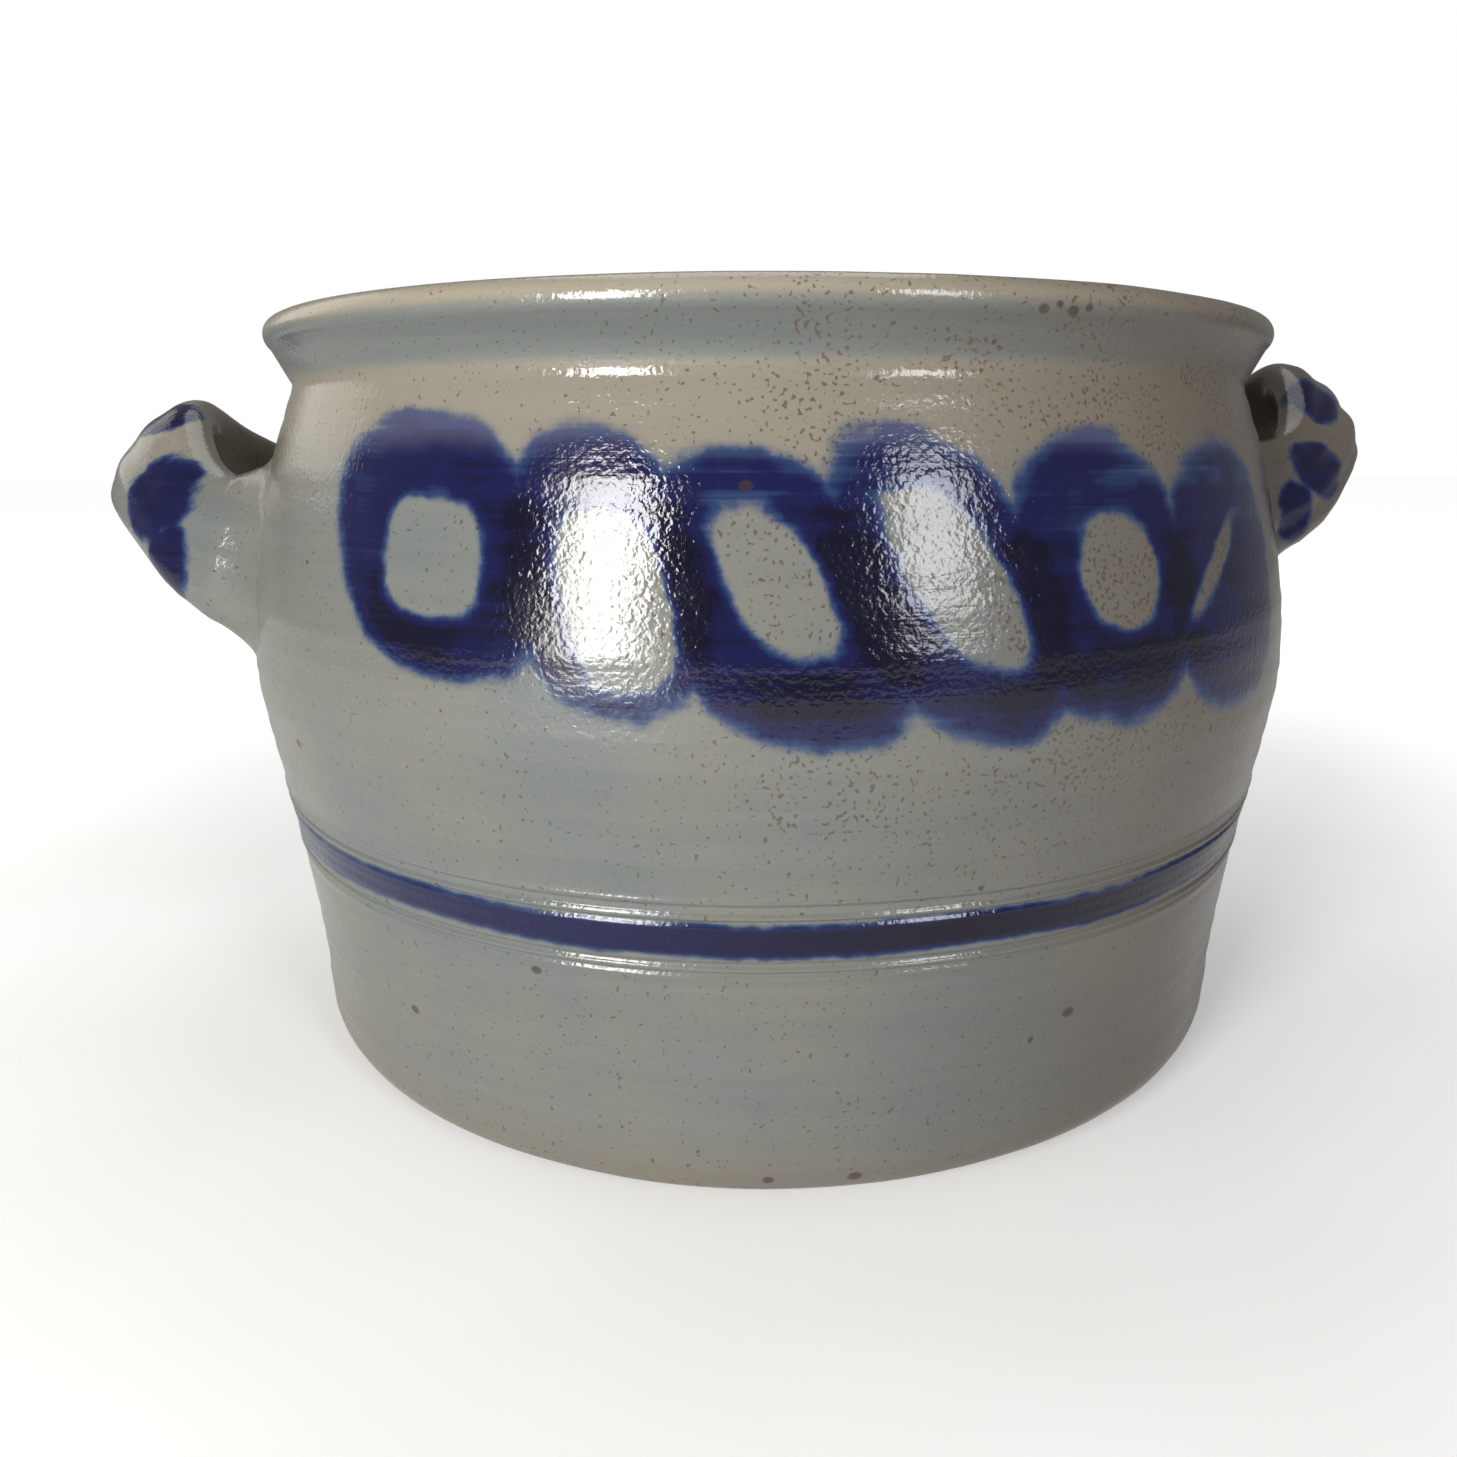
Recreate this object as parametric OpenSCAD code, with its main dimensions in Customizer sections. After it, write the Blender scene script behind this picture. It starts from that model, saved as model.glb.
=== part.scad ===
// Hand-thrown salt-glazed stoneware fermenting crock with two luted strap handles
// and a pair of loose half-moon weights that hold the ferment under its brine.
// Millimetres, +Z up, origin at the centre of the foot, handles along X, painted face to -Y.

/* [Crock] */
// Height from the foot to the top of the lip
crock_h = 181; // [172:1:195]
// Radius of the widest part of the belly
belly_r = 136.5; // [134:0.5:139]
// Radius of the neck, at its narrowest
neck_r = 123.8; // [121:0.2:126]
// Outer radius of the rolled lip
lip_r = 130; // [128:0.5:133]
// Radius of the flat foot
foot_r = 114; // [108:1:116]
// Wall thickness at the belly
wall_t = 7.5; // [6.5:0.25:8.5]
// Thickness of the floor
floor_t = 11; // [9:0.5:14]

/* [Tooled band] */
// Height of the middle of the painted band between the tooled lines
band_z = 60.8; // [56:0.2:66]
// Depth of each tooled line
line_depth = 0.6; // [0.2:0.1:0.9]

/* [Handles] */
// Half the distance between the middles of a handle's two roots
handle_half_span = 39; // [36:0.5:42]
// Distance from the crock's axis to the middle of a strap
handle_r = 162; // [158:0.5:165]
// How much higher the middle of the strap is than its roots
handle_rise = 26; // [22:0.5:29]
// Width of the strap at its middle
strap_w = 36; // [32:1:38]
// Thickness of the strap at its middle
strap_t = 16; // [13:0.5:18]
// Height of the left handle's roots above the foot
left_root_z = 122.5; // [118:0.5:128]
// Height of the right handle's roots above the foot
right_root_z = 134.5; // [126:0.5:136]
// Height of the left handle's roots, along the wall
left_root_w = 42; // [34:1:46]
// Height of the right handle's roots, along the wall
right_root_w = 34; // [32:1:42]

/* [Weights] */
// Radius of the pair of half-moon weights
weight_r = 99; // [92:1:100]
// Thickness of a weight
weight_t = 22; // [16:1:26]
// Gap between the two halves
weight_gap = 5; // [3:0.5:8]
// Radius of the finger hole through a weight
finger_r = 11; // [9:0.5:13]

/* [Hidden] */

stoneware = [0.62, 0.61, 0.56];
bare_clay = [0.70, 0.64, 0.55];

// Facets round the crock, a weight and a finger hole.
crock_facets = 180;
weight_facets = 120;
hole_facets = 60;

// A smooth curve through a list of points, with a fixed number of steps between two of them.
curve_steps = 6;
function spline(p, steps = curve_steps) = [
    for (i = [0 : len(p) - 2], s = [0 : steps - 1])
        let (
            a = p[max(i - 1, 0)], b = p[i], c = p[i + 1], d = p[min(i + 2, len(p) - 1)],
            t = s / steps
        )
        0.5 * (2 * b + (c - a) * t + (2 * a - 5 * b + 4 * c - d) * t * t
            + (3 * b - a - 3 * c + d) * t * t * t),
    p[len(p) - 1]
];

// Outside of the wall from the foot to the neck, in shares of the height up to the neck.
neck_z = crock_h - 15;
lower_r = belly_r - 11.2;
outside = spline([
    [foot_r, 0],
    [foot_r + 8.8, 0.033 * neck_z],
    [lower_r - 0.6, 0.086 * neck_z],
    [lower_r, 0.15 * neck_z],
    [lower_r + 3.1, 0.287 * neck_z],
    [belly_r - 3.8, 0.438 * neck_z],
    [belly_r, 0.574 * neck_z],
    [belly_r - 0.3, 0.68 * neck_z],
    [belly_r - 2.6, 0.775 * neck_z],
    [belly_r - 6.5, 0.887 * neck_z],
    [neck_r + 2.3, 0.96 * neck_z],
    [neck_r, neck_z],
]);

// Inside of the wall from the lip down to the floor.
bead_r = 4;
bead_x = lip_r - bead_r;
bead_z = crock_h - bead_r;
inside = spline([
    [bead_x - 0.8, crock_h],
    [bead_x - 4.6, crock_h - 2.2],
    [neck_r - 5, crock_h - 8],
    [neck_r - 7.6, neck_z],
    [belly_r - 6.5 - wall_t, 0.887 * neck_z],
    [belly_r - 2.6 - wall_t, 0.775 * neck_z],
    [belly_r - 0.3 - wall_t, 0.68 * neck_z],
    [belly_r - wall_t, 0.574 * neck_z],
    [belly_r - 4.2 - wall_t, 0.438 * neck_z],
    [lower_r + 2.3 - wall_t, 0.287 * neck_z],
    [lower_r - wall_t - 1.4, floor_t + 13],
    [lower_r - wall_t - 6.5, floor_t + 4],
    [weight_r + 4, floor_t],
]);

// The rolled lip, as an arc from the cove under it to its top.
lip = [for (a = [-48 : 12 : 84]) [bead_x + bead_r * cos(a), bead_z + bead_r * sin(a)]];

// Tooled lines above and below the painted band: [height from the band's middle, half width].
tooled_lines = [[-6.6, 0.7], [-4.5, 0.8], [4.4, 0.7], [7.6, 0.8]];
function line_cut(z) = line_depth * max([
    for (l = tooled_lines) max(0, 1 - abs(z - band_z - l[0]) / l[1])
]);
function radius_at(z, p) = lookup(z, [for (q = p) [q[1], q[0]]]);
line_heights = [for (l = tooled_lines, s = [-1, 0, 1]) band_z + l[0] + s * l[1]];
wall_outline = concat(
    [for (p = outside) if (p[1] < line_heights[0]) p],
    [for (z = line_heights) [radius_at(z, outside) - line_cut(z), z]],
    [for (p = outside) if (p[1] > line_heights[len(line_heights) - 1]) p]
);

module crock() {
    color(stoneware)
        rotate_extrude($fn = crock_facets)
            polygon(concat([[0, 0]], wall_outline, lip, inside, [[0, floor_t]]));
}

// A strap handle is one loop of clay, swept from root to root in a bow that rises outwards.
// It flares where its roots are luted to the wall, and its middle leans over the bow.
root_x = 122;
root_spread = 9;
root_blend = 5;
waist = 10;
lean = 40;
loop_steps = 30;
strap_sides = 20;
luting_depth = 2.5;
// How full the bow is seen from above, and how far it draws in at its middle.
bow_fullness = 1.2;
bow_draw = 0.1;
// Between these angles from the middle, the strap turns to meet the wall squarely.
turn_start = 40;
turn_end = 78;

// The half of the bow on its front side climbs later than the half behind it.
front_climb = 2.3;
back_climb = 1.3;
function bow(a, front) = [
    root_x + (handle_r - root_x) * pow(cos(a), bow_fullness),
    handle_half_span * sin(a) * (1 - bow_draw * cos(a) * cos(a)),
    handle_rise * pow(cos(a), a * front > 0 ? front_climb : back_climb)
];
function unit(v) = v / norm(v);
function share_between(v, first, last) = min(1, max(0, (v - first) / (last - first)));
function strap_ring(a, root_z, root_w, front) =
    let (
        c = bow(a, front),
        from_wall = unit([c[0], c[1], 0]) * (a > 0 ? -1 : 1),
        near_root = share_between(abs(a), turn_start, turn_end),
        sweep = unit(bow(min(a + 1, 90), front) - bow(max(a - 1, -90), front)),
        along = unit(sweep * (1 - near_root) + from_wall * near_root),
        flat_along = unit([along[0], along[1], 0]),
        out = [flat_along[1], -flat_along[0], 0],
        leaning = cos(lean) * cross(out, along) - sin(lean) * out * cos(a),
        up = unit(leaning - (leaning * along) * along),
        clear = max(0, norm([c[0], c[1]]) - radius_at(c[2] + root_z, outside)),
        spread = root_spread * exp(-clear / root_blend),
        w = strap_w + (root_w - strap_w) * pow(sin(a), 2) - waist * pow(sin(2 * a), 2) + 2 * spread,
        t = strap_t + 2 * spread
    )
    [for (k = [0 : strap_sides - 1])
        let (s = 360 * k / strap_sides)
        c + cross(along, up) * t / 2 * cos(s) + up * w / 2 * sin(s)];

// Clay pressed against the wall goes in no deeper than the luting.
function pressed(p) =
    let (r = norm([p[0], p[1]]), core = radius_at(p[2], outside) - luting_depth)
    r < core ? [p[0] * core / r, p[1] * core / r, p[2]] : p;

module strap(root_z, root_w, front) {
    root = [0, 0, root_z];
    rings = [
        for (i = [0 : loop_steps])
            let (a = -90 + 180 * i / loop_steps)
            [for (p = strap_ring(a, root_z, root_w, front)) pressed(p + root)]
    ];
    last = loop_steps * strap_sides;
    first_middle = last + strap_sides;
    points = concat(
        [for (r = rings, p = r) p],
        [for (a = [-90, 90]) pressed(bow(a, front) + root)]
    );
    sides = [
        for (i = [0 : loop_steps - 1], k = [0 : strap_sides - 1])
            let (n = (k + 1) % strap_sides, a = i * strap_sides, b = a + strap_sides)
            each [[a + k, b + k, b + n], [a + k, b + n, a + n]]
    ];
    ends = [
        for (k = [0 : strap_sides - 1])
            let (n = (k + 1) % strap_sides)
            each [[first_middle, k, n], [first_middle + 1, last + n, last + k]]
    ];
    polyhedron(points, concat(sides, ends), convexity = 6);
}

module left_handle() {
    color(stoneware) rotate([0, 0, 180]) strap(left_root_z, left_root_w, 1);
}

module right_handle() {
    color(stoneware) strap(right_root_z, right_root_w, -1);
}

// One half-moon weight, lying on the crock's floor on the +Y side.
edge_r = 5;
weight_outline = concat(
    [[0, 0]],
    [for (a = [-90 : 15 : 0]) [weight_r - edge_r + edge_r * cos(a), edge_r + edge_r * sin(a)]],
    [for (a = [0 : 15 : 90])
        [weight_r - edge_r + edge_r * cos(a), weight_t - edge_r + edge_r * sin(a)]],
    [[0, weight_t]]
);
finger_y = 0.45 * weight_r;
// The cutters stand this far clear of the clay they cut.
cut_clear = 10;

module half_weight() {
    translate([0, 0, floor_t])
        difference() {
            rotate_extrude($fn = weight_facets) polygon(weight_outline);
            translate([-weight_r - cut_clear, -weight_r - cut_clear, -cut_clear])
                cube([
                    2 * (weight_r + cut_clear),
                    weight_r + cut_clear + weight_gap / 2,
                    weight_t + 2 * cut_clear
                ]);
            translate([0, finger_y, -cut_clear])
                cylinder(r = finger_r, h = weight_t + 2 * cut_clear, $fn = hole_facets);
        }
}

module back_weight() {
    color(bare_clay) half_weight();
}

module front_weight() {
    color(bare_clay) rotate([0, 0, 180]) half_weight();
}

crock();
left_handle();
right_handle();
front_weight();
back_weight();
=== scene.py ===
from math import cos, exp, pi, radians, sin, sqrt

import bpy
from mathutils import Matrix, Vector


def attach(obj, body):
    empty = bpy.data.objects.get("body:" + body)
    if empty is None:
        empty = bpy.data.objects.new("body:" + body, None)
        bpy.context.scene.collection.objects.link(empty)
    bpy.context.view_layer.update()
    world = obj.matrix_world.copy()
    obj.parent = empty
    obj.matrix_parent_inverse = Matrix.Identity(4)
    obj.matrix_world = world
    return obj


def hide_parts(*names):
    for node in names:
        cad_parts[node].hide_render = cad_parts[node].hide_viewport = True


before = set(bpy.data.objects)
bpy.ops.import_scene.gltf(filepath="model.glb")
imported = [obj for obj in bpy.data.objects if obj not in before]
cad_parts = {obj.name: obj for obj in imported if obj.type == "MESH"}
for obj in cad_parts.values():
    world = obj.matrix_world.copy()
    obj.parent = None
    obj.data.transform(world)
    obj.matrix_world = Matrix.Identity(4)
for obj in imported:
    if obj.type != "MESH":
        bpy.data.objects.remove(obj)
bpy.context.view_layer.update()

# Lengths in the tables below are in millimetres; MM turns them into the frame's metres.
MM = 0.001

FLOOR = 11
BAND_HEIGHT = 60.8

# The outside of the wall, from the foot to the neck: (radius, height).
OUTSIDE = [
    (114.0, 0.0), (122.8, 5.5), (124.7, 14.3), (125.3, 24.9), (128.4, 47.6), (132.7, 72.7),
    (136.5, 95.3), (136.2, 112.9), (133.9, 128.7), (130.0, 147.2), (126.1, 159.4), (123.8, 166.0),
]
# The inside of the wall, from the lip to the floor.
INSIDE = [
    (125.2, 181.0), (121.4, 178.8), (118.8, 173.0), (116.2, 166.0), (122.5, 147.2), (126.4, 128.7),
    (128.7, 112.9), (129.0, 95.3), (124.8, 72.7), (120.1, 47.6), (116.4, 24.0), (111.3, 15.0),
    (103.0, 11.0),
]
# The rolled edge of the lip.
BEAD_RADIUS = 4
BEAD_MIDDLE = (126, 177)

# Lines cut by the potter's tool beside the band, and the ridges they throw up:
# (height from the band's middle, half width, how far it stands out).
TOOL_MARKS = [
    (-6.6, 0.8, -0.55), (-5.6, 0.6, 0.3), (-4.5, 0.9, -0.6), (-3.3, 0.7, 0.25),
    (3.4, 0.7, 0.2), (4.4, 0.8, -0.5), (5.6, 0.8, 0.45), (6.5, 0.6, -0.3), (7.6, 0.9, -0.55),
    (8.7, 0.8, 0.3),
]

# Handles: (height of the roots, height of a root along the wall, depth of the finger furrows).
LEFT_STRAP = (122.5, 42, 0.035)
RIGHT_STRAP = (134.5, 34, 0.085)
ROOT_X = 122
STRAP_REACH = 162
STRAP_HALF_SPAN = 39
STRAP_RISE = 26
STRAP_WIDTH = 36
STRAP_THICKNESS = 17
STRAP_LEAN = radians(40)
STRAP_WAIST = 10
ROOT_SPREAD = 9
ROOT_BLEND = 5

# How finely the pot is spun and a strap's ring is traced.
SPIN_STEPS = 320
RING_SIDES = 40

WEIGHT_RADIUS = 99
WEIGHT_THICKNESS = 22
WEIGHT_GAP = 5
FINGER_RADIUS = 11
FINGER_OFFSET = 44.55


# ---------------------------------------------------------------- modelling

def nothing_selected():
    if bpy.context.object and bpy.context.object.mode != "OBJECT":
        bpy.ops.object.mode_set(mode="OBJECT")
    bpy.ops.object.select_all(action="DESELECT")


def only(piece):
    nothing_selected()
    piece.select_set(True)
    bpy.context.view_layer.objects.active = piece


def smooth_line(points, steps):
    """Points of a smooth curve that passes through the given points."""
    line = []
    for i in range(len(points) - 1):
        a, b = points[max(i - 1, 0)], points[i]
        c, d = points[i + 1], points[min(i + 2, len(points) - 1)]
        for step in range(steps):
            t = step / steps
            line.append(tuple(
                0.5 * (2 * q + (r - p) * t + (2 * p - 5 * q + 4 * r - s) * t * t
                       + (3 * q - p - 3 * r + s) * t ** 3)
                for p, q, r, s in zip(a, b, c, d)
            ))
    line.append(points[-1])
    return line


def traced(name, points):
    """A line of edges through the points, drawn by extruding one vertex from each to the next."""
    nothing_selected()
    bpy.ops.mesh.primitive_plane_add(size=0.01)
    piece = bpy.context.object
    piece.name = name
    bpy.ops.object.mode_set(mode="EDIT")
    bpy.ops.mesh.merge(type="CENTER")
    here = Vector(points[0])
    bpy.ops.transform.translate(value=here)
    for point in points[1:]:
        step = Vector(point) - here
        bpy.ops.mesh.extrude_region_move(TRANSFORM_OT_translate={"value": step})
        here = Vector(point)
    bpy.ops.object.mode_set(mode="OBJECT")
    return piece


def settled(piece):
    """Doubles merged, faces turned outwards, and shaded smooth."""
    only(piece)
    bpy.ops.object.mode_set(mode="EDIT")
    bpy.ops.mesh.select_all(action="SELECT")
    bpy.ops.mesh.remove_doubles(threshold=0.00001)
    bpy.ops.mesh.normals_make_consistent(inside=False)
    bpy.ops.object.mode_set(mode="OBJECT")
    bpy.ops.object.shade_smooth()


def modified(piece, kind, **settings):
    """A modifier added with these settings, and applied."""
    only(piece)
    modifier = piece.modifiers.new(kind.lower(), kind)
    for name, value in settings.items():
        setattr(modifier, name, value)
    bpy.ops.object.modifier_apply(modifier=modifier.name)


def uneven(piece, grain, strength):
    """The small unevenness that hands leave in clay."""
    clouds = bpy.data.textures.new(piece.name + "_clay", "CLOUDS")
    clouds.noise_scale = grain
    clouds.noise_depth = 2
    modified(
        piece, "DISPLACE", texture=clouds, texture_coords="LOCAL", strength=strength, mid_level=0.5,
    )


# ---------------------------------------------------------------- the thrown pot

def radius_at(height, line):
    """The wall's radius at a height, on a line that climbs."""
    for (r0, z0), (r1, z1) in zip(line, line[1:]):
        if z0 <= height <= z1:
            return r0 + (r1 - r0) * (height - z0) / max(z1 - z0, 1e-9)
    return line[0][0] if height < line[0][1] else line[-1][0]


def tool_mark(height):
    """How far the tooled lines and ridges stand out at a height."""
    depth = 0
    for middle, half, stands in TOOL_MARKS:
        off = (height - BAND_HEIGHT - middle) / half
        if abs(off) < 1:
            depth += stands * (0.5 + 0.5 * cos(pi * off))
    return depth


def throwing(height):
    """Soft rings left by the fingers while the pot was thrown."""
    return 0.07 * sin(height * 0.83) + 0.05 * sin(height * 1.9 + 1.3) + 0.05 * sin(height * 0.37 + 4)


def pot_profile():
    wall = smooth_line(OUTSIDE, 10)
    heights = [1.2 + 2.1 * i for i in range(24)]
    heights += [50.2 + 0.42 * i for i in range(54)]
    heights += [73.4 + 2.0 * i for i in range(46)]
    line = [(0, 1.0), (40, 1.0), (80, 0.9), (98, 0.6), (104, 0.05), (112.4, 0), (114.2, 0.5)]
    for z in heights:
        line.append((radius_at(z, wall) + tool_mark(z) + throwing(z) * min(1, z / 20), z))
    line.append((124.2, 165.6))
    for angle in range(-50, 91, 10):
        line.append((
            BEAD_MIDDLE[0] + BEAD_RADIUS * cos(radians(angle)),
            BEAD_MIDDLE[1] + BEAD_RADIUS * sin(radians(angle)),
        ))
    for r, z in smooth_line(INSIDE, 5):
        line.append((r + 0.35 * sin(z * 0.55) * (20 < z < 160), z))
    line += [(85, FLOOR), (60, FLOOR), (30, FLOOR), (0, FLOOR)]
    return line


def make_crock():
    crock = traced("crock_pot", [(r * MM, 0, z * MM) for r, z in pot_profile()])
    only(crock)
    bpy.ops.object.mode_set(mode="EDIT")
    bpy.ops.mesh.select_all(action="SELECT")
    bpy.ops.mesh.spin(steps=SPIN_STEPS, angle=2 * pi, center=(0, 0, 0), axis=(0, 0, 1))
    bpy.ops.object.mode_set(mode="OBJECT")
    settled(crock)
    uneven(crock, 0.05, 0.0006)
    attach(crock, "crock")
    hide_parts("crock")
    return crock


# ---------------------------------------------------------------- the luted handles

def bow(angle, front):
    """The middle of a strap, from root to root. The half away from the front side rises sooner."""
    c, s = max(cos(angle), 0), sin(angle)
    climb = 2.3 if angle * front > 0 else 1.3
    return Vector((
        ROOT_X + (STRAP_REACH - ROOT_X) * c ** 1.2,
        STRAP_HALF_SPAN * s * (1 - 0.1 * c * c),
        STRAP_RISE * c ** climb,
    ))


def smooth_step(value, start, end):
    share = min(max((value - start) / (end - start), 0), 1)
    return share * share * (3 - 2 * share)


def signed_power(value, power):
    return abs(value) ** power * (1 if value > 0 else -1)


def strap_section(furrow):
    """One ring of the strap: a rounded oblong with lengthwise furrows on its outer face."""
    ring = []
    for k in range(RING_SIDES + 1):
        turn = 2 * pi * k / RING_SIDES
        x, y = signed_power(cos(turn), 1), signed_power(sin(turn), 0.95)
        face = max(0, x)
        ring.append((x - furrow * face * (1 + cos(3.4 * pi * y + 0.6)), y, 0))
    section = traced("strap_section", ring)
    settled(section)
    return section


def make_strap(name, strap, side):
    root_z, root_w, furrow = strap
    section = strap_section(furrow)
    wall = smooth_line(OUTSIDE, 10)
    rings = []
    stops = [-80, -76, -72, -67.5, -62, -56, -49, -41, -33, -25, -17, -8.5]
    stops += [0] + [-stop for stop in reversed(stops)]
    for stop in stops:
        angle = radians(stop)
        hold = smooth_step(abs(stop), 58, 79)
        middle = bow(angle, -side)
        along = (bow(angle + 0.02, -side) - bow(angle - 0.02, -side)).normalized()
        from_wall = Vector((middle.x, middle.y, 0)).normalized() * (-1 if stop > 0 else 1)
        along = along.lerp(from_wall, smooth_step(abs(stop), 40, 78)).normalized()
        level = Vector((along.x, along.y, 0)).normalized()
        out = Vector((level.y, -level.x, 0))
        up = cos(STRAP_LEAN) * out.cross(along) - sin(STRAP_LEAN) * out * cos(angle)
        up = (up - up.dot(along) * along).normalized()
        clear = sqrt(middle.x ** 2 + middle.y ** 2) - radius_at(root_z + middle.z, wall)
        spread = ROOT_SPREAD * exp(-max(clear, 0) / ROOT_BLEND)
        width = STRAP_WIDTH + (root_w - STRAP_WIDTH) * sin(angle) ** 2
        width += 2 * spread - STRAP_WAIST * sin(2 * angle) ** 2
        thickness = STRAP_THICKNESS + 2 * spread
        nothing_selected()
        section.select_set(True)
        bpy.context.view_layer.objects.active = section
        bpy.ops.object.duplicate()
        ring = bpy.context.object
        face = along.cross(up) * thickness / 2 * MM
        edge = up * width / 2 * MM
        back = along * -MM
        ring.matrix_world = Matrix((
            (side * face.x, side * edge.x, side * back.x, side * middle.x * MM),
            (side * face.y, side * edge.y, side * back.y, side * middle.y * MM),
            (face.z, edge.z, back.z, (middle.z + root_z) * MM),
            (0, 0, 0, 1),
        ))
        bpy.ops.object.transform_apply(location=True, rotation=True, scale=True)
        ring.vertex_groups.new(name="pressed").add(range(len(ring.data.vertices)), hold, "REPLACE")
        rings.append(ring)
    bpy.data.objects.remove(section)
    nothing_selected()
    for ring in rings:
        ring.select_set(True)
    bpy.context.view_layer.objects.active = rings[0]
    bpy.ops.object.join()
    piece = bpy.context.object
    piece.name = name
    bpy.ops.object.mode_set(mode="EDIT")
    bpy.ops.mesh.select_all(action="SELECT")
    bpy.ops.mesh.bridge_edge_loops()
    for end in (-1, 1):
        bpy.ops.mesh.select_all(action="DESELECT")
        bpy.ops.mesh.select_mode(type="VERT")
        bpy.ops.mesh.select_non_manifold()
        bpy.ops.object.mode_set(mode="OBJECT")
        for vertex in piece.data.vertices:
            vertex.select = vertex.select and vertex.co.y * end > 0
        for edge in piece.data.edges:
            edge.select = all(piece.data.vertices[i].select for i in edge.vertices) and edge.select
        for face in piece.data.polygons:
            face.select = False
        bpy.ops.object.mode_set(mode="EDIT")
        bpy.ops.mesh.edge_face_add()
        bpy.ops.mesh.poke()
    bpy.ops.object.mode_set(mode="OBJECT")
    settled(piece)
    modified(piece, "SUBSURF", levels=2, render_levels=2)
    return piece


def lute(piece, crock):
    """The roots are pressed onto the wall, and end just under its surface."""
    modified(
        piece, "SHRINKWRAP", target=crock, wrap_method="NEAREST_SURFACEPOINT",
        wrap_mode="ABOVE_SURFACE", offset=-0.0007, vertex_group="pressed",
    )
    uneven(piece, 0.018, 0.0011)
    settled(piece)


def make_handles(crock):
    made = []
    for name, node, strap, side in (
        ("left_strap", "left_handle", LEFT_STRAP, -1),
        ("right_strap", "right_handle", RIGHT_STRAP, 1),
    ):
        piece = make_strap(name, strap, side)
        lute(piece, crock)
        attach(piece, "crock")
        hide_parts(node)
        made.append(piece)
    return made


# ---------------------------------------------------------------- the loose weights

def make_weight(name, node, side):
    """A half-moon of clay with rounded edges and a hole for a finger."""
    nothing_selected()
    middle = (0, 0, (FLOOR + WEIGHT_THICKNESS / 2) * MM)
    bpy.ops.mesh.primitive_cylinder_add(
        vertices=144, radius=WEIGHT_RADIUS * MM, depth=WEIGHT_THICKNESS * MM, location=middle,
    )
    weight = bpy.context.object
    weight.name = name
    bpy.ops.object.transform_apply(location=True)
    bpy.ops.object.mode_set(mode="EDIT")
    bpy.ops.mesh.select_all(action="SELECT")
    bpy.ops.mesh.bisect(
        plane_co=(0, side * WEIGHT_GAP / 2 * MM, 0), plane_no=(0, side, 0),
        use_fill=True, clear_inner=True,
    )
    bpy.ops.object.mode_set(mode="OBJECT")
    modified(weight, "BEVEL", width=0.0045, segments=5, limit_method="ANGLE", angle_limit=radians(40))
    nothing_selected()
    bpy.ops.mesh.primitive_cylinder_add(
        vertices=72, radius=FINGER_RADIUS * MM, depth=0.06,
        location=(0, side * FINGER_OFFSET * MM, middle[2]),
    )
    cutter = bpy.context.object
    modified(weight, "BOOLEAN", operation="DIFFERENCE", solver="EXACT", object=cutter)
    bpy.data.objects.remove(cutter)
    modified(weight, "REMESH", mode="VOXEL", voxel_size=0.0012)
    modified(weight, "SMOOTH", factor=0.5, iterations=6)
    uneven(weight, 0.03, 0.0007)
    settled(weight)
    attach(weight, node)
    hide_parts(node)
    return weight


# ---------------------------------------------------------------- shader building blocks

def tint(red, green, blue):
    """A colour named by its 0 to 255 values, as linear light."""
    def linear(value):
        value /= 255
        return value / 12.92 if value <= 0.04045 else ((value + 0.055) / 1.055) ** 2.4
    return (linear(red), linear(green), linear(blue), 1)


def feed(tree, socket, value):
    if isinstance(value, bpy.types.NodeSocket):
        tree.links.new(value, socket)
    else:
        socket.default_value = value


def calc(tree, operation, *values):
    made = tree.nodes.new("ShaderNodeMath")
    made.operation = operation
    for socket, value in zip(made.inputs, values):
        feed(tree, socket, value)
    return made.outputs[0]


def mixed(tree, share, first, second, mode="MIX"):
    made = tree.nodes.new("ShaderNodeMix")
    made.data_type = "RGBA"
    made.blend_type = mode
    feed(tree, made.inputs[0], share)
    feed(tree, made.inputs[6], first)
    feed(tree, made.inputs[7], second)
    return made.outputs[2]


def fades(tree, value, start, end, first=0, last=1):
    """A value that goes smoothly from first to last while another goes from start to end."""
    made = tree.nodes.new("ShaderNodeMapRange")
    made.interpolation_type = "SMOOTHSTEP"
    for name, number in (("Value", value), ("From Min", start), ("From Max", end),
                         ("To Min", first), ("To Max", last)):
        feed(tree, made.inputs[name], number)
    return made.outputs[0]


def noise(tree, place, scale, detail=2, roughness=0.5, distortion=0):
    made = tree.nodes.new("ShaderNodeTexNoise")
    feed(tree, made.inputs["Vector"], place)
    for name, number in (("Scale", scale), ("Detail", detail), ("Roughness", roughness),
                         ("Distortion", distortion)):
        made.inputs[name].default_value = number
    return made.outputs["Fac"]


def stretched(tree, place, factors):
    made = tree.nodes.new("ShaderNodeVectorMath")
    made.operation = "MULTIPLY"
    feed(tree, made.inputs[0], place)
    made.inputs[1].default_value = factors
    return made.outputs[0]


def new_group(name, inputs, outputs):
    """An empty node group with these sockets: its tree, its inputs by name, and its output node."""
    tree = bpy.data.node_groups.new(name, "ShaderNodeTree")
    for label, kind in inputs:
        tree.interface.new_socket(label, in_out="INPUT", socket_type=kind)
    for label, kind in outputs:
        tree.interface.new_socket(label, in_out="OUTPUT", socket_type=kind)
    return tree, tree.nodes.new("NodeGroupInput").outputs, tree.nodes.new("NodeGroupOutput").inputs


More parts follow.
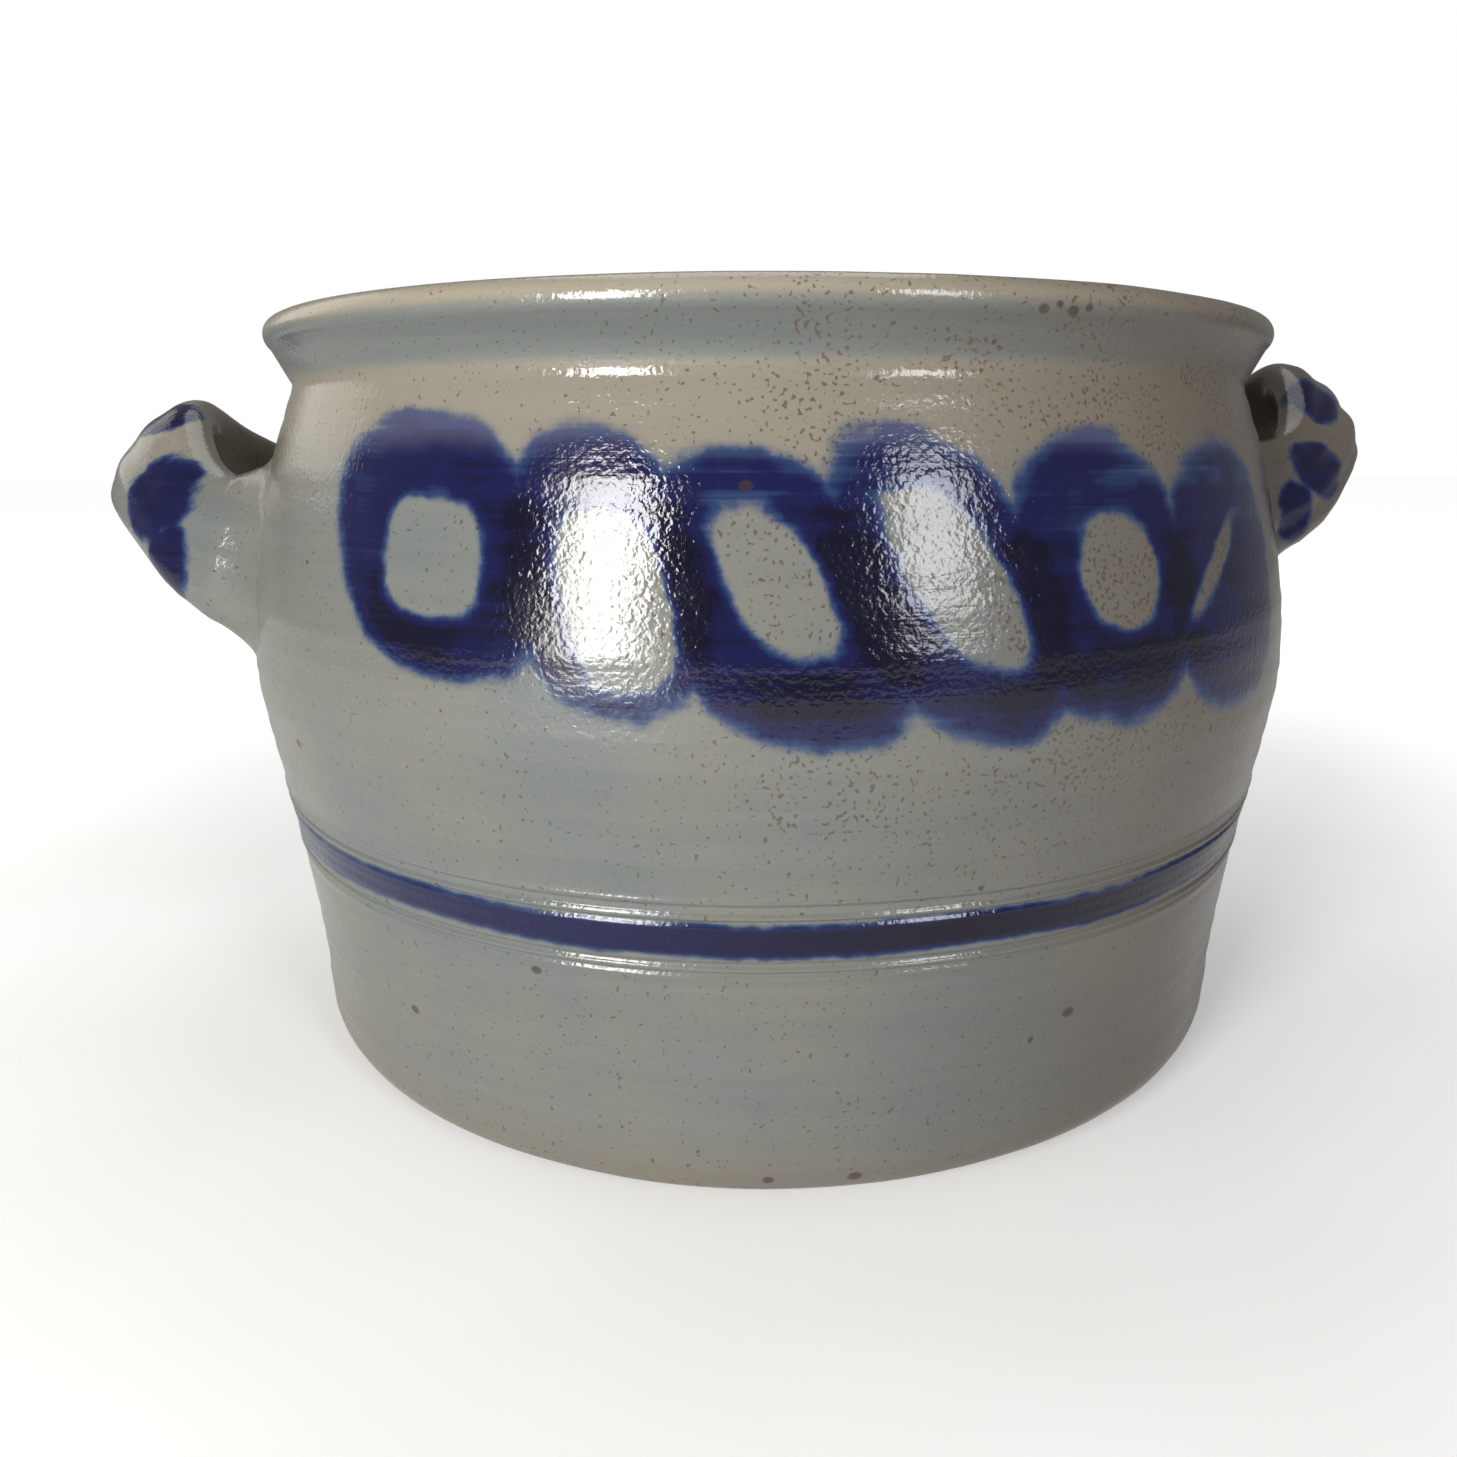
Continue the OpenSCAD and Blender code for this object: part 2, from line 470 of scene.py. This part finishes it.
def placed(tree, group, **values):
    """A node group set in a tree. Its inputs are named with _ for each space."""
    made = tree.nodes.new("ShaderNodeGroup")
    made.node_tree = group
    for name, value in values.items():
        feed(tree, made.inputs[name.replace("_", " ")], value)
    return made.outputs


VECTOR = "NodeSocketVector"
NUMBER = "NodeSocketFloat"
COLOUR = "NodeSocketColor"

# Length of one degree round the belly.
DEGREE = 2.33


def around_the_pot():
    """Degrees round the pot from the front, height, and both as lengths, folded to repeat behind."""
    tree, give, take = new_group(
        "around_the_pot", [("Place", VECTOR)],
        [("Degrees", NUMBER), ("Height", NUMBER), ("Painted Side", VECTOR)],
    )
    split = tree.nodes.new("ShaderNodeSeparateXYZ")
    feed(tree, split.inputs[0], give["Place"])
    x, y, z = split.outputs
    turn = calc(tree, "ARCTAN2", x, calc(tree, "MULTIPLY", y, -1))
    degrees = calc(tree, "MULTIPLY", turn, 180 / pi)
    folded = calc(tree, "WRAP", degrees, 90, -90)
    flat = tree.nodes.new("ShaderNodeCombineXYZ")
    feed(tree, flat.inputs[0], calc(tree, "MULTIPLY", folded, DEGREE))
    feed(tree, flat.inputs[1], z)
    feed(tree, take["Degrees"], degrees)
    feed(tree, take["Height"], z)
    feed(tree, take["Painted Side"], flat.outputs[0])
    return tree


def brush_oval():
    """How far inside a leaning oval a point lies."""
    tree, give, take = new_group(
        "brush_oval",
        [("Painted Side", VECTOR), ("Middle", VECTOR), ("Half Width", NUMBER), ("Half Height", NUMBER),
         ("Lean", NUMBER), ("Squareness", NUMBER)],
        [("Inside", NUMBER)],
    )
    shift = tree.nodes.new("ShaderNodeVectorMath")
    shift.operation = "SUBTRACT"
    feed(tree, shift.inputs[0], give["Painted Side"])
    feed(tree, shift.inputs[1], give["Middle"])
    split = tree.nodes.new("ShaderNodeSeparateXYZ")
    feed(tree, split.inputs[0], shift.outputs[0])
    across = calc(tree, "MULTIPLY_ADD", split.outputs[1], give["Lean"], split.outputs[0])
    wide = calc(tree, "ABSOLUTE", calc(tree, "DIVIDE", across, give["Half Width"]))
    high = calc(tree, "ABSOLUTE", calc(tree, "DIVIDE", split.outputs[1], give["Half Height"]))
    total = calc(
        tree, "ADD", calc(tree, "POWER", wide, give["Squareness"]),
        calc(tree, "POWER", high, give["Squareness"]),
    )
    reach = calc(tree, "POWER", total, calc(tree, "DIVIDE", 1, give["Squareness"]))
    size = calc(tree, "MINIMUM", give["Half Width"], give["Half Height"])
    feed(tree, take["Inside"], calc(tree, "MULTIPLY", calc(tree, "SUBTRACT", 1, reach), size))
    return tree


def throwing_lines():
    """Fine level lines round the pot, which come and go."""
    tree, give, take = new_group("throwing_lines", [("Place", VECTOR)], [("Height", NUMBER)])
    fine = noise(tree, stretched(tree, give["Place"], (0.022, 0.022, 1.1)), 1, 3, 0.6)
    broad = noise(tree, stretched(tree, give["Place"], (0.01, 0.01, 0.28)), 1, 1)
    fine_share = calc(tree, "MULTIPLY", fine, 0.4)
    feed(tree, take["Height"], calc(tree, "MULTIPLY_ADD", broad, 0.6, fine_share))
    return tree


def orange_peel():
    """The dimpled skin of salt glaze, and the pits in it."""
    tree, give, take = new_group(
        "orange_peel", [("Place", VECTOR)], [("Height", NUMBER), ("Pits", NUMBER)],
    )
    skin = noise(tree, give["Place"], 0.85, 1.5, 0.4, 0.3)
    fine = noise(tree, give["Place"], 2.1, 1, 0.5)
    feed(tree, take["Height"], calc(tree, "MULTIPLY_ADD", fine, 0.18, skin))
    feed(tree, take["Pits"], noise(tree, give["Place"], 1.15, 0.5, 0.5))
    return tree


def iron_specks():
    """A few dark spots of iron, scattered in the glaze."""
    tree, give, take = new_group(
        "iron_specks", [("Place", VECTOR), ("Spacing", NUMBER)], [("Specks", NUMBER)],
    )
    cells = tree.nodes.new("ShaderNodeTexVoronoi")
    feed(tree, cells.inputs["Vector"], give["Place"])
    feed(tree, cells.inputs["Scale"], calc(tree, "DIVIDE", 1, give["Spacing"]))
    gap = calc(tree, "MULTIPLY", cells.outputs["Distance"], give["Spacing"])
    pick = tree.nodes.new("ShaderNodeSeparateColor")
    feed(tree, pick.inputs[0], cells.outputs["Color"])
    size = fades(tree, pick.outputs[0], 0.55, 1, 0, 0.85)
    edge = calc(tree, "SUBTRACT", size, gap)
    feed(tree, take["Specks"], fades(tree, edge, -0.05, 0.3))
    return tree


def ground_glaze():
    """The salt glaze under the paint: grey, beige at the neck and foot, and brown in its pits; painted
    shade under the lip, and browner with painted shade towards the right.
    """
    tree, give, take = new_group(
        "ground_glaze",
        [("Place", VECTOR), ("Degrees", NUMBER), ("Height", NUMBER), ("Pits", NUMBER),
         ("Lines", NUMBER)],
        [("Colour", COLOUR)],
    )
    height = give["Height"]
    drift = noise(tree, stretched(tree, give["Place"], (0.012, 0.012, 0.03)), 1, 3, 0.55)
    patch = noise(tree, give["Place"], 0.022, 3, 0.6)
    wander = calc(tree, "MULTIPLY_ADD", calc(tree, "SUBTRACT", drift, 0.5), 14, height)
    colour = mixed(tree, fades(tree, patch, 0.36, 0.64), tint(112, 113, 107), tint(104, 109, 108))
    foot = fades(tree, wander, 20, 2)
    colour = mixed(tree, calc(tree, "MULTIPLY", foot, 0.55), colour, tint(116, 104, 91))
    neck = calc(tree, "MULTIPLY", fades(tree, wander, 136, 158), fades(tree, height, 169, 165))
    colour = mixed(tree, calc(tree, "MULTIPLY", neck, 0.75), colour, tint(138, 130, 115))
    # Painted shade: a darker grey band in the cove under the rolled lip, where the lip shades the wall.
    cove_shade = calc(tree, "MULTIPLY", fades(tree, height, 166, 170), fades(tree, height, 177.5, 174.5))
    colour = mixed(tree, calc(tree, "MULTIPLY", cove_shade, 0.9), colour, tint(96, 101, 99))
    rim = fades(tree, height, 175.5, 178.5)
    colour = mixed(tree, rim, colour, tint(148, 141, 125))
    streak = fades(tree, give["Lines"], 0.42, 0.6)
    colour = mixed(tree, calc(tree, "MULTIPLY", streak, 0.07), colour, tint(142, 140, 130))
    # Browner and darker towards the right: partly the glaze's own browner tone, partly painted shade on
    # the side away from the lamps.
    right_tone_and_shade = fades(tree, give["Degrees"], -14, 46)
    right_tone_and_shade = calc(tree, "MULTIPLY", right_tone_and_shade, fades(tree, give["Degrees"], 150, 90))
    colour = mixed(tree, calc(tree, "MULTIPLY", right_tone_and_shade, 0.65), colour, tint(84, 70, 60))
    toasted = calc(tree, "MULTIPLY", fades(tree, give["Degrees"], -22, 4), fades(tree, height, 60, 105))
    toasted = calc(tree, "MULTIPLY", toasted, fades(tree, give["Degrees"], 75, 30, 0.35, 1))
    toasted = calc(tree, "MULTIPLY_ADD", toasted, 0.85, 0.12)
    toasted = calc(tree, "MULTIPLY", toasted, fades(tree, noise(tree, give["Place"], 0.05, 2), 0.3, 0.6))
    limit = calc(tree, "MULTIPLY_ADD", toasted, 0.13, 0.27)
    short = calc(tree, "SUBTRACT", limit, give["Pits"])
    brown = fades(tree, short, -0.03, 0.06)
    colour = mixed(tree, calc(tree, "MULTIPLY", brown, 0.7), colour, tint(82, 62, 44))
    feed(tree, take["Colour"], colour)
    return tree


def cobalt_paint():
    """Cobalt brushed into the glaze: a thin coat is teal, a thick one is navy."""
    tree, give, take = new_group(
        "cobalt_paint", [("Ground", COLOUR), ("Coat", NUMBER), ("Wash", NUMBER)], [("Colour", COLOUR)],
    )
    coat = give["Coat"]
    colour = mixed(tree, fades(tree, coat, 0, 0.38), give["Ground"], tint(40, 60, 96))
    colour = mixed(tree, fades(tree, coat, 0.22, 0.68), colour, tint(17, 19, 62))
    colour = mixed(tree, fades(tree, coat, 0.75, 1.25), colour, tint(8, 6, 30))
    pale = calc(tree, "MULTIPLY", give["Wash"], fades(tree, coat, 0.1, 0.4))
    feed(tree, take["Colour"], mixed(tree, pale, colour, tint(84, 84, 108)))
    return tree


# The brushed loops: (degrees from the front, height, half width and half height, lean, squareness).
LOOPS = [
    (-35.3, 134, 27, 24.5, 0.30, 2.4),
    (-19.8, 130, 20, 26, 0.20, 2.1),
    (-6.2, 125.5, 22.5, 26, 0.34, 2.5),
    (6.8, 127.3, 21.5, 28.5, 0.36, 2.1),
    (21.4, 127.5, 22.5, 27.5, 0.12, 2.3),
    (38.6, 125.8, 24, 27.8, 0.02, 2.5),
]
# The bare eyes inside them.
EYES = [
    (-35, 131.5, 11.6, 11, 0.10, 3.2),
    (-18.6, 125, 10.5, 16.5, 0.22, 2.6),
    (-6.3, 128, 8.6, 12.6, 0.42, 2.8),
    (7.6, 128.5, 9.5, 16, 0.52, 2.6),
    (22.4, 128.5, 9.6, 11, 0.12, 2.3),
    (35.6, 128, 3.8, 8.4, -1.0, 2.0),
]
BAND_PAINT_HEIGHT = 61.3
BAND_PAINT_HALF = 3.4


def oval_in(tree, group, side, row):
    degrees, height, half_width, half_height, lean, squareness = row
    return placed(
        tree, group, Painted_Side=side, Middle=(degrees * DEGREE, height, 0), Half_Width=half_width,
        Half_Height=half_height, Lean=lean, Squareness=squareness,
    )["Inside"]


def loops_coat(ovals):
    """The coat of cobalt in the brushed loops: their strokes, thicker where one crosses another."""
    tree, give, take = new_group(
        "brushed_loops", [("Painted Side", VECTOR), ("Place", VECTOR), ("Lines", NUMBER)],
        [("Coat", NUMBER), ("Wash", NUMBER)],
    )
    side = give["Painted Side"]
    ragged = noise(tree, give["Place"], 0.11, 5, 0.62)
    ragged = calc(tree, "MULTIPLY", calc(tree, "SUBTRACT", ragged, 0.5), 4.5)
    total, widest = 0.0, 0.0
    for row in LOOPS:
        inside = calc(tree, "ADD", oval_in(tree, ovals, side, row), ragged)
        part = fades(tree, inside, -2.2, 4.6)
        total = calc(tree, "ADD", total, part)
        widest = calc(tree, "MAXIMUM", widest, part)
    for row in EYES:
        inside = calc(tree, "SUBTRACT", oval_in(tree, ovals, side, row), ragged)
        bare = fades(tree, inside, 1.6, -2.6)
        widest = calc(tree, "MULTIPLY", widest, bare)
    crossing = calc(tree, "SUBTRACT", total, 1)
    crossing = calc(tree, "MAXIMUM", crossing, 0)
    crossing = calc(tree, "MINIMUM", crossing, 1)
    height = tree.nodes.new("ShaderNodeSeparateXYZ")
    feed(tree, height.inputs[0], side)
    height = height.outputs[1]
    streak = calc(tree, "MULTIPLY_ADD", calc(tree, "SUBTRACT", give["Lines"], 0.5), 1.5, 0.72)
    low = fades(tree, height, 150, 106, 0, 0.35)
    patchy = fades(tree, noise(tree, give["Place"], 0.07, 3), 0.35, 0.65, -0.18, 0.2)
    thick = calc(tree, "ADD", calc(tree, "ADD", streak, low), patchy)
    thick = calc(tree, "MULTIPLY_ADD", crossing, 0.5, thick)
    feed(tree, take["Coat"], calc(tree, "MULTIPLY", widest, thick))
    top = fades(tree, calc(tree, "MULTIPLY_ADD", ragged, 0.9, height), 149, 156)
    feed(tree, take["Wash"], calc(tree, "MULTIPLY", top, 0.62))
    return tree


def dab():
    """How far inside an egg of space a point lies: where one meets the clay, it leaves a brushed dab."""
    tree, give, take = new_group(
        "dab", [("Place", VECTOR), ("Middle", VECTOR), ("Half Size", VECTOR)], [("Inside", NUMBER)],
    )
    shift = tree.nodes.new("ShaderNodeVectorMath")
    shift.operation = "SUBTRACT"
    feed(tree, shift.inputs[0], give["Place"])
    feed(tree, shift.inputs[1], give["Middle"])
    share = tree.nodes.new("ShaderNodeVectorMath")
    share.operation = "DIVIDE"
    feed(tree, share.inputs[0], shift.outputs[0])
    feed(tree, share.inputs[1], give["Half Size"])
    length = tree.nodes.new("ShaderNodeVectorMath")
    length.operation = "LENGTH"
    feed(tree, length.inputs[0], share.outputs[0])
    feed(tree, take["Inside"], calc(tree, "SUBTRACT", 1, length.outputs["Value"]))
    return tree


# ---------------------------------------------------------------- finishes

def new_finish(name):
    """A material with its Principled node, and Object coordinates in millimetres."""
    finish = bpy.data.materials.new(name)
    finish.use_nodes = True
    tree = finish.node_tree
    place = tree.nodes.new("ShaderNodeTexCoord").outputs["Object"]
    return finish, tree, tree.nodes["Principled BSDF"], stretched(tree, place, (1000, 1000, 1000))


def glazed(name, groups, coat_of, specks_spacing):
    """A glossy salt glaze, with the coat of cobalt that coat_of puts on it."""
    finish, tree, shader, place = new_finish(name)
    where = placed(tree, groups["around"], Place=place)
    lines = placed(tree, groups["lines"], Place=place)["Height"]
    peel = placed(tree, groups["peel"], Place=place)
    colour = placed(
        tree, groups["ground"], Place=place, Degrees=where["Degrees"], Height=where["Height"],
        Pits=peel["Pits"], Lines=lines,
    )["Colour"]
    coat, wash = coat_of(tree, place, where, lines)
    colour = placed(tree, groups["cobalt"], Ground=colour, Coat=coat, Wash=wash)["Colour"]
    specks = placed(tree, groups["specks"], Place=place, Spacing=specks_spacing)["Specks"]
    specks = calc(tree, "MAXIMUM", specks, spots_on_wall(tree, groups, place))
    colour = mixed(tree, calc(tree, "MULTIPLY", specks, 0.75), colour, tint(58, 42, 32))
    feed(tree, shader.inputs["Base Color"], colour)
    cloudy = noise(tree, place, 0.035, 3, 0.6)
    feed(tree, shader.inputs["Roughness"], fades(tree, cloudy, 0.35, 0.7, 0.08, 0.2))
    relief = calc(tree, "MULTIPLY_ADD", lines, 0.9, peel["Height"])
    relief = calc(tree, "MULTIPLY_ADD", specks, -0.5, relief)
    bump = tree.nodes.new("ShaderNodeBump")
    bump.inputs["Distance"].default_value = 0.0001
    feed(tree, bump.inputs["Height"], relief)
    feed(tree, shader.inputs["Normal"], bump.outputs[0])
    shader.inputs["IOR"].default_value = 1.5
    return finish


def crock_coat(groups):
    def coat_of(tree, place, where, lines):
        loops = placed(
            tree, groups["loops"], Painted_Side=where["Painted Side"], Place=place, Lines=lines,
        )
        sway = noise(tree, stretched(tree, place, (0.02, 0.02, 0.02)), 1, 2)
        middle = calc(tree, "MULTIPLY_ADD", calc(tree, "SUBTRACT", sway, 0.5), 3, BAND_PAINT_HEIGHT)
        off = calc(tree, "ABSOLUTE", calc(tree, "SUBTRACT", where["Height"], middle))
        ragged = calc(tree, "MULTIPLY", calc(tree, "SUBTRACT", noise(tree, place, 0.22, 3), 0.5), 1.3)
        band = fades(tree, calc(tree, "ADD", off, ragged), BAND_PAINT_HALF + 0.9, BAND_PAINT_HALF - 1.6)
        thick = fades(tree, where["Degrees"], -50, 32, 0.58, 1.4)
        band = calc(tree, "MULTIPLY", band, thick)
        normal = tree.nodes.new("ShaderNodeTexCoord").outputs["Normal"]
        radial = tree.nodes.new("ShaderNodeVectorMath")
        radial.operation = "DOT_PRODUCT"
        feed(tree, radial.inputs[0], normal)
        feed(tree, radial.inputs[1], stretched(tree, place, (0.01, 0.01, 0)))
        outside = fades(tree, radial.outputs["Value"], -0.1, 0.1)
        coat = calc(tree, "MAXIMUM", loops["Coat"], band)
        return calc(tree, "MULTIPLY", coat, outside), loops["Wash"]
    return coat_of


# Iron spots and the blister on the lip: (degrees from the front, height, half size).
IRON_SPOTS = [
    (22, 37, 1.5), (-55.5, 88, 1.2), (-27.5, 51, 1.1), (-44, 32, 1.2), (1, 8, 1.4), (-7, 8, 1.1),
    (-8.7, 145, 1.2), (15, 175.5, 1.1), (16.4, 176.4, 0.8), (17.8, 175.4, 1.2), (19.3, 176, 0.9),
]


def spots_on_wall(tree, groups, place):
    """A mask of the spots, each an egg of space that the wall cuts through."""
    wall = smooth_line(OUTSIDE, 4) + [(129, 173), (130, 178)]
    spots = 0.0
    for degrees, height, half in IRON_SPOTS:
        radius = radius_at(height, wall)
        middle = (radius * sin(radians(degrees)), -radius * cos(radians(degrees)), height)
        inside = placed(
            tree, groups["dab"], Place=place, Middle=middle, Half_Size=(half * 1.3, half * 1.6, half),
        )["Inside"]
        spots = calc(tree, "MAXIMUM", spots, fades(tree, inside, 0, 0.45))
    return spots


# Dabs of cobalt on the handles: (middle, half size) in millimetres.
DABS = [
    ((-153, -31, 139), (12, 12, 13)),
    ((-150, -38, 124), (8, 8, 10)),
    ((-158, -11, 158), (10, 8, 6)),
    ((153, -20, 163), (8, 12, 8)),
    ((145, -37, 145), (11, 8, 9)),
    ((135, -43, 134), (7, 6, 9)),
]


def handle_coat(groups):
    def coat_of(tree, place, where, lines):
        ragged = calc(tree, "MULTIPLY", calc(tree, "SUBTRACT", noise(tree, place, 0.16, 4), 0.5), 0.7)
        coat = 0.0
        for middle, half in DABS:
            inside = placed(tree, groups["dab"], Place=place, Middle=middle, Half_Size=half)["Inside"]
            touched = fades(tree, calc(tree, "ADD", inside, ragged), -0.12, 0.42)
            coat = calc(tree, "MAXIMUM", coat, touched)
        streak = calc(tree, "MULTIPLY_ADD", calc(tree, "SUBTRACT", lines, 0.5), 1.2, 0.95)
        return calc(tree, "MULTIPLY", coat, streak), 0.0
    return coat_of


def bare_stoneware(groups):
    finish, tree, shader, place = new_finish("bare_stoneware")
    patch = noise(tree, place, 0.03, 4, 0.6)
    colour = mixed(tree, fades(tree, patch, 0.35, 0.65), tint(190, 174, 146), tint(166, 158, 142))
    grain = noise(tree, place, 1.4, 3, 0.7)
    colour = mixed(tree, fades(tree, grain, 0.55, 0.75, 0, 0.4), colour, tint(132, 112, 86))
    specks = placed(tree, groups["specks"], Place=place, Spacing=7.0)["Specks"]
    colour = mixed(tree, calc(tree, "MULTIPLY", specks, 0.7), colour, tint(82, 60, 42))
    feed(tree, shader.inputs["Base Color"], colour)
    feed(tree, shader.inputs["Roughness"], fades(tree, grain, 0.3, 0.7, 0.72, 0.88))
    bump = tree.nodes.new("ShaderNodeBump")
    bump.inputs["Distance"].default_value = 0.0002
    feed(tree, bump.inputs["Height"], calc(tree, "MULTIPLY_ADD", patch, 1.5, grain))
    feed(tree, shader.inputs["Normal"], bump.outputs[0])
    return finish


def finish_all(crock, straps, weights):
    groups = {
        "around": around_the_pot(), "lines": throwing_lines(), "peel": orange_peel(),
        "specks": iron_specks(), "ground": ground_glaze(), "cobalt": cobalt_paint(), "dab": dab(),
    }
    groups["loops"] = loops_coat(brush_oval())
    crock.data.materials.append(glazed("salt_glaze", groups, crock_coat(groups), 13.0))
    handle_finish = glazed("handle_glaze", groups, handle_coat(groups), 11.0)
    for strap in straps:
        strap.data.materials.append(handle_finish)
    stoneware = bare_stoneware(groups)
    for weight in weights:
        weight.data.materials.append(stoneware)


# ---------------------------------------------------------------- floor, lights and camera

def make_floor():
    nothing_selected()
    bpy.ops.mesh.primitive_plane_add(size=8)
    floor = bpy.context.object
    floor.name = "studio_floor"
    finish, tree, shader, place = new_finish("pale_floor")
    cloudy = noise(tree, place, 0.01, 2)
    feed(tree, shader.inputs["Base Color"], mixed(
        tree, fades(tree, cloudy, 0.3, 0.7), tint(236, 235, 232), tint(241, 240, 238)))
    shader.inputs["Roughness"].default_value = 0.8
    # Far from the crock the floor is as bright as the studio's paper, so that no horizon shows.
    split = tree.nodes.new("ShaderNodeVectorMath")
    split.operation = "LENGTH"
    feed(tree, split.inputs[0], place)
    seen = tree.nodes.new("ShaderNodeLightPath").outputs["Is Camera Ray"]
    far = fades(tree, split.outputs["Value"], 130, 620, 0.34, 1)
    shader.inputs["Emission Color"].default_value = (1, 1, 1, 1)
    paper = calc(tree, "MULTIPLY", far, seen)
    feed(tree, shader.inputs["Emission Strength"], calc(tree, "MULTIPLY", paper, 0.8))
    floor.data.materials.append(finish)


def add_light(name, turn, climb, distance, width, height, radiance, colour):
    """A soft panel that faces the crock's middle, turn degrees round from the front."""
    data = bpy.data.lights.new(name, "AREA")
    data.shape = "RECTANGLE"
    data.size = width
    data.size_y = height
    data.energy = pi * width * height * radiance
    data.color = colour
    light = bpy.data.objects.new(name, data)
    around, up = radians(turn), radians(climb)
    target = Vector((0, 0, 0.1))
    offset = Vector((sin(around) * cos(up), -cos(around) * cos(up), sin(up))) * distance
    light.location = target + offset
    light.rotation_euler = offset.to_track_quat("Z", "Y").to_euler()
    light.visible_camera = False
    bpy.context.collection.objects.link(light)


def light_studio():
    add_light("tall_window", -38.5, 12, 1.2, 0.34, 0.56, 22, (1.0, 0.98, 0.95))
    add_light("small_window", 24.5, 18, 1.2, 0.26, 0.46, 11, (0.95, 0.98, 1.0))
    add_light("left_wall", -122, 25, 1.4, 0.7, 0.8, 0.9, (1.0, 0.96, 0.9))
    add_light("overhead", 180, 70, 1.5, 1.0, 1.0, 1.5, (1.0, 1.0, 1.0))
    world = bpy.data.worlds.new("studio")
    bpy.context.scene.world = world
    world.use_nodes = True
    tree = world.node_tree
    sky = tree.nodes["Background"]
    sky.inputs["Color"].default_value = (1, 1, 1, 1)
    seen = tree.nodes.new("ShaderNodeLightPath").outputs["Is Camera Ray"]
    feed(tree, sky.inputs["Strength"], calc(tree, "MULTIPLY_ADD", seen, 0.8, 0.2))


CAMERA_TURN = radians(-7)
CAMERA_DISTANCE = 0.325
CAMERA_HEIGHT = 0.153
CAMERA_TILT = radians(10)


def set_camera():
    data = bpy.data.cameras.new("camera")
    data.lens = 27.78
    data.shift_x = -0.02725
    data.shift_y = -0.0632
    data.clip_start = 0.01
    camera = bpy.data.objects.new("camera", data)
    camera.location = (
        CAMERA_DISTANCE * sin(CAMERA_TURN), -CAMERA_DISTANCE * cos(CAMERA_TURN), CAMERA_HEIGHT,
    )
    camera.rotation_euler = (radians(90) - CAMERA_TILT, 0, CAMERA_TURN)
    bpy.context.collection.objects.link(camera)
    bpy.context.scene.camera = camera
    bpy.context.scene.view_settings.view_transform = "Standard"


crock = make_crock()
straps = make_handles(crock)
weights = [
    make_weight("front_half_moon", "front_weight", -1),
    make_weight("back_half_moon", "back_weight", 1),
]
finish_all(crock, straps, weights)
make_floor()
light_studio()
set_camera()
